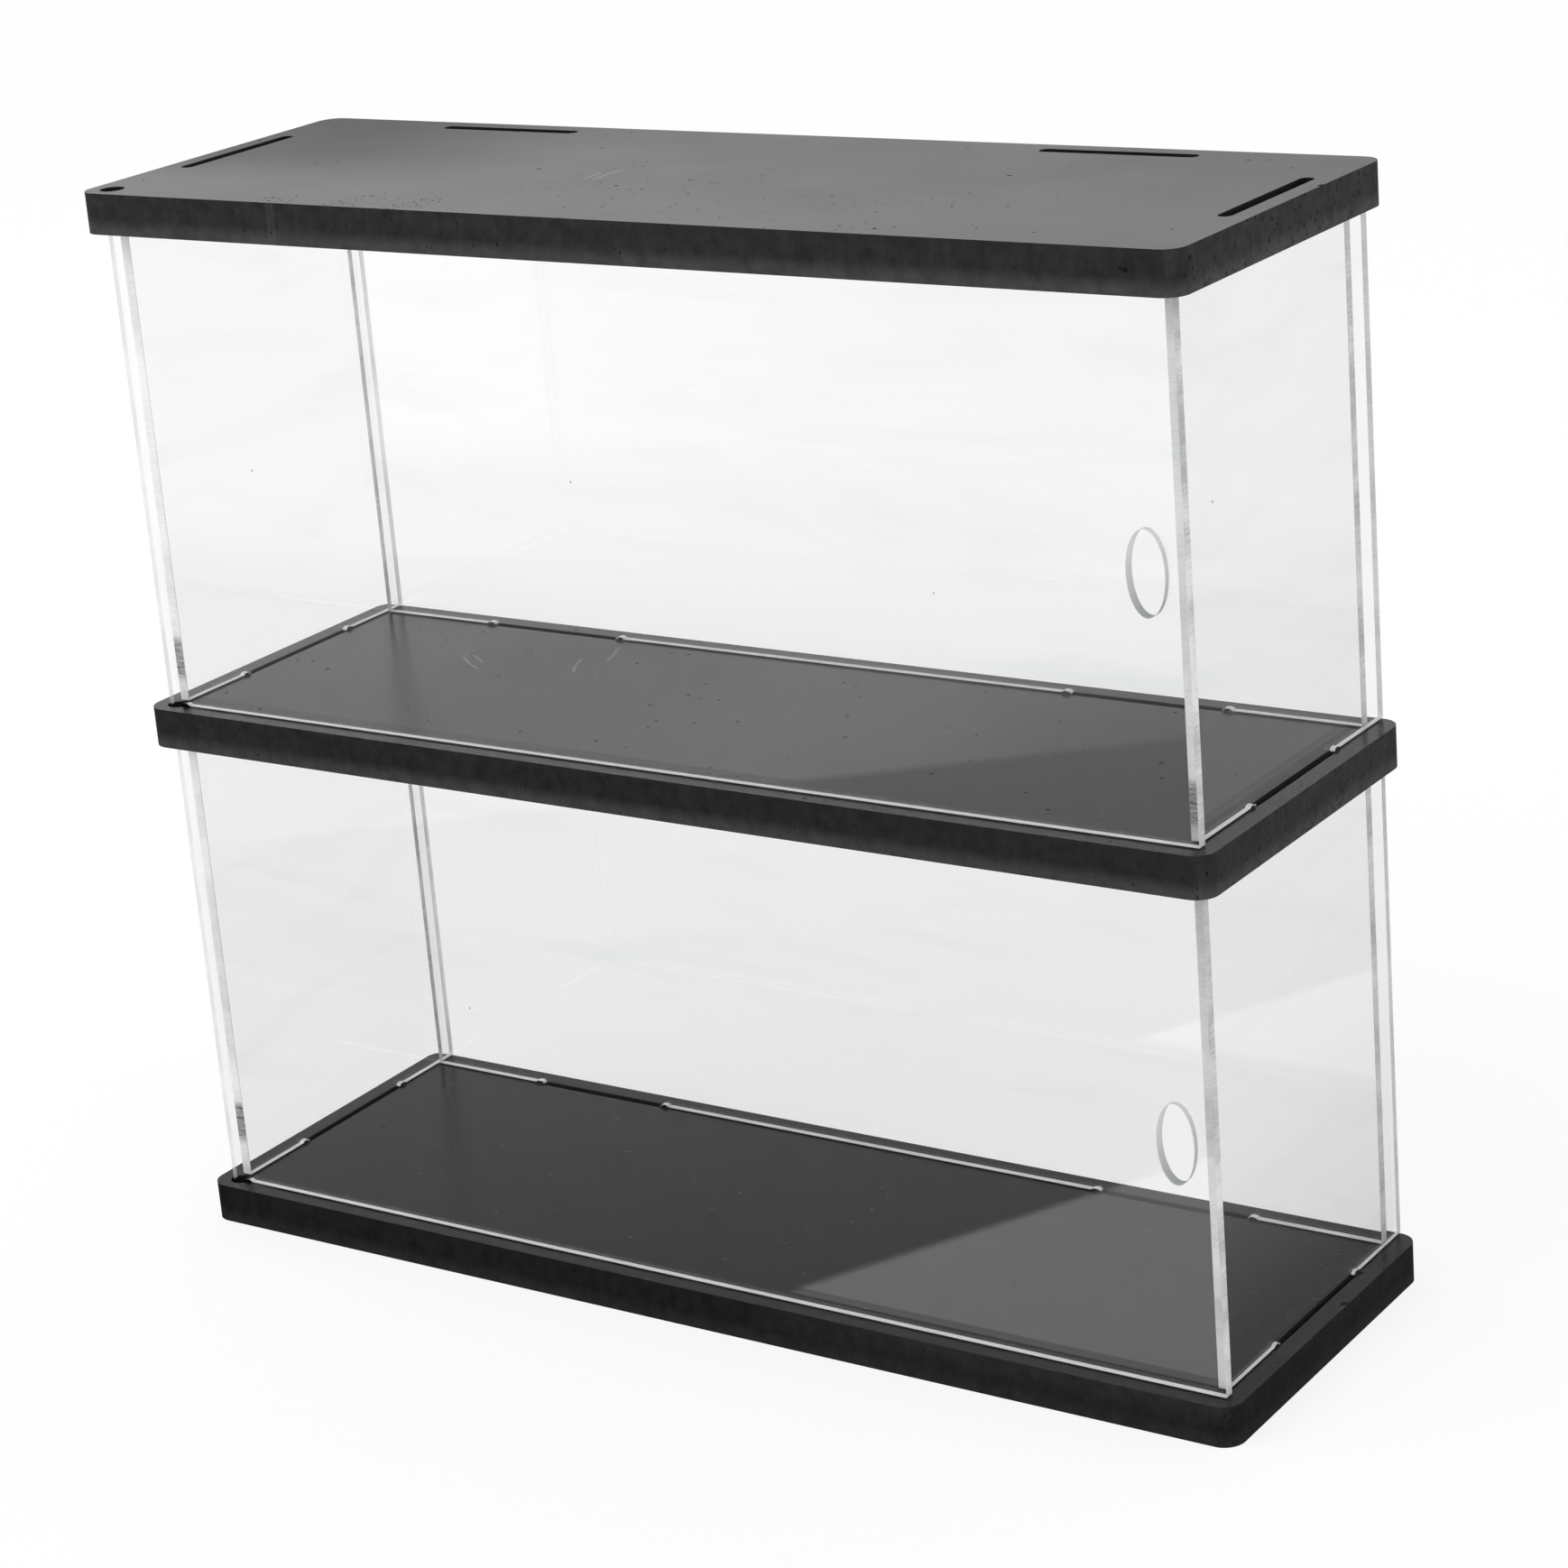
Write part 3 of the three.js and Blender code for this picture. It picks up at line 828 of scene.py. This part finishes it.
def finishPiece(piece, nodeName, body):
    bpy.ops.object.select_all(action="DESELECT")
    piece.select_set(True)
    bpy.context.view_layer.objects.active = piece
    bpy.ops.object.shade_smooth_by_angle(angle=math.radians(shapingValues["smoothAngle"]))
    bpy.ops.object.modifier_add(type="WEIGHTED_NORMAL")
    piece.modifiers[-1].keep_sharp = True
    bpy.ops.object.modifier_apply(modifier=piece.modifiers[-1].name)
    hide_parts(nodeName)
    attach(piece, body)


# Boards
boardValues = {
    "nodes": ("bottom_board", "middle_board", "top_board"),
    "edgeBreak": 0.15 * mm,
    "edgeSegments": 2,
}


def buildBoard(nodeName, values):
    board = copyOfNode(nodeName, nodeName.replace("_board", "Board"))
    upright = Vector((0, 0, 1))
    breakEdges(board, upright, values["edgeBreak"], values["edgeSegments"])
    paintSides(board, upright, skin, routed)
    finishPiece(board, nodeName, "case")


for boardNode in boardValues["nodes"]:
    buildBoard(boardNode, boardValues)
print("boards built")

# Clear panels and doors
sheetValues = {
    "edgeBreak": 0.10 * mm,
    "edgeSegments": 1,
    "axes": {"left_panel": (1, 0, 0), "right_panel": (1, 0, 0), "back_panel": (0, 1, 0), "door": (0, 1, 0)},
    "tabHeight": 5 * mm,       # tip of a tab to the shoulder beside it
    "shoulderGap": 0.3 * mm,   # between a shoulder and the board it faces
    "solidRelief": (1.1 * mm, 0.55 * mm),   # width and height of a relief in the frame's node
    "relief": (2.4 * mm, 0.45 * mm),        # and as the real sheets have it
    "boardPitch": 130 * mm,
    "boardThickness": 10 * mm,
    "solidHole": (10.4 * mm, 20 * mm, 9 * mm),   # width, height and distance of a finger hole from the end
    "hole": (9.3 * mm, 19.4 * mm, 9.6 * mm),
    "pivotRelief": 5.1 * mm,   # from the hinge end, over the pivot tab and most of its relief
    "touch": 0.05 * mm,
    "slanted": 0.1,            # least part of a broken edge's normal that lies across the sheet
    "upright": 0.3,            # most of an upright face's normal that lies along Z
    "level": 0.9,              # least of a level face's
    "exactlyLevel": 0.9999,
}


def selectPoints(sheet, chosen):
    # Edit mode, with the chosen points alone selected. Returns how many they are
    startEditing(sheet)
    bpy.ops.mesh.select_mode(type="VERT")
    bpy.ops.mesh.select_all(action="DESELECT")
    mesh = bmesh.from_edit_mesh(sheet.data)
    picked = [vertex for vertex in mesh.verts if chosen(vertex.co)]
    for vertex in picked:
        vertex.select = True
    mesh.select_flush_mode()
    bmesh.update_edit_mesh(sheet.data)
    return len(picked)


def shapeReliefs(sheet, axis, values):
    # Beside each tab the relief is drawn wider and lower than in the node
    run = 1 if axis.x else 0
    points = [vertex.co.copy() for vertex in sheet.data.vertices]
    bottom = min(point.z for point in points)
    top = max(point.z for point in points)
    touch = values["touch"]
    roots = sorted({round(point[run], 5) for point in points if point.z < bottom + touch})
    wide, high = values["solidRelief"]
    newWide, newHigh = values["relief"]
    factors = [1.0, 1.0, newHigh / high]
    factors[run] = newWide / wide
    for root in roots:
        for shoulder in (bottom + values["tabHeight"], top - values["tabHeight"]):
            count = selectPoints(sheet, lambda point: abs(point[run] - root) < wide + touch
                                 and abs(point.z - shoulder) < high + touch)
            if count:
                centre = [0.0, 0.0, shoulder]
                centre[run] = root
                bpy.ops.transform.resize(value=factors, center_override=centre)
            bpy.ops.object.mode_set(mode="OBJECT")


def shapeFingerHole(door, values):
    width, height, fromEnd = values["solidHole"]
    newWidth, newHeight, newFromEnd = values["hole"]
    points = [vertex.co for vertex in door.data.vertices]
    end = max(point.x for point in points)
    middle = (min(point.z for point in points) + max(point.z for point in points)) / 2
    touch = values["touch"]
    selectPoints(door, lambda point: abs(point.x - end + fromEnd) < width / 2 + touch
                 and abs(point.z - middle) < height / 2 + touch)
    bpy.ops.transform.resize(value=(newWidth / width, 1.0, newHeight / height),
                             center_override=(end - fromEnd, 0.0, middle))
    bpy.ops.transform.translate(value=(fromEnd - newFromEnd, 0.0, 0.0))
    bpy.ops.object.mode_set(mode="OBJECT")
    return end - newFromEnd


def cutAtBoards(sheet, values):
    # The tabs get faces of their own where they enter the boards
    points = [vertex.co.z for vertex in sheet.data.vertices]
    depth = values["tabHeight"] - values["shoulderGap"]
    for height in (min(points) + depth, max(points) - depth):
        startEditing(sheet)
        bpy.ops.mesh.select_all(action="SELECT")
        bpy.ops.mesh.bisect(plane_co=(0, 0, height), plane_no=(0, 0, 1))
        bpy.ops.object.mode_set(mode="OBJECT")


def sortOfFace(face, axis, door, values):
    # Names the material of one face. A door gives its hinge end and the middle of its finger hole
    inBoard = face.center.z % values["boardPitch"] < values["boardThickness"]
    standing = abs(face.normal.z)
    if isFlat(face, axis):
        return "slotShaded" if inBoard else "polished"
    if door and face.center.x < door["hingeEnd"]:
        return "end"
    if door and door["hingeEnd"] < face.center.x < door["hingeEnd"] + values["pivotRelief"]:
        return "slotShaded"
    if abs(face.normal.dot(axis)) > values["slanted"]:
        return "arris" if standing < values["upright"] else "shoulder"
    holeReach = values["hole"][0] / 2 + values["edgeBreak"] + values["touch"]
    if door and abs(face.center.x - door["holeMiddle"]) < holeReach and standing < values["exactlyLevel"]:
        return "hole"
    return "shoulder" if standing > values["level"] else "cut"


def paintSheet(sheet, axis, polishedMaterial, cutMaterial, holeMiddle, values):
    materials = {
        "polished": polishedMaterial,
        "cut": cutMaterial,
        "hole": sawnHole,
        "arris": arris,
        "shoulder": sawnShoulder,
        "slotShaded": slotShadeTab,
        "end": sawnEnd,
    }
    order = list(materials)
    for material in materials.values():
        sheet.data.materials.append(material)
    door = None
    if holeMiddle is not None:
        leftEnd = min(vertex.co.x for vertex in sheet.data.vertices)
        door = {"hingeEnd": leftEnd + values["edgeBreak"] + values["touch"], "holeMiddle": holeMiddle}
    for face in sheet.data.polygons:
        face.material_index = order.index(sortOfFace(face, axis, door, values))


def buildSheet(tier, part, values):
    nodeName = tier + "_" + part
    sheet = copyOfNode(nodeName, tier + "".join(word.title() for word in part.split("_")))
    axis = Vector(values["axes"][part])
    shapeReliefs(sheet, axis, values)
    holeMiddle = shapeFingerHole(sheet, values) if part == "door" else None
    cutAtBoards(sheet, values)
    breakEdges(sheet, axis, values["edgeBreak"], values["edgeSegments"])
    clearFaces = {
        "upper_right_panel": polishedRight,
        "upper_back_panel": darkenedUpper,
        "lower_back_panel": darkenedLower,
    }
    clearFace = clearFaces.get(nodeName, polished)
    paintSheet(sheet, axis, clearFace, sawnSide if axis.x else sawnFront, holeMiddle, values)
    body = tier + "_door_body" if part == "door" else "case"
    finishPiece(sheet, nodeName, body)


for tier in ("lower", "upper"):
    for part in sheetValues["axes"]:
        buildSheet(tier, part, sheetValues)
    print(tier, "tier built")

bpy.context.scene.view_settings.view_transform = "Standard"
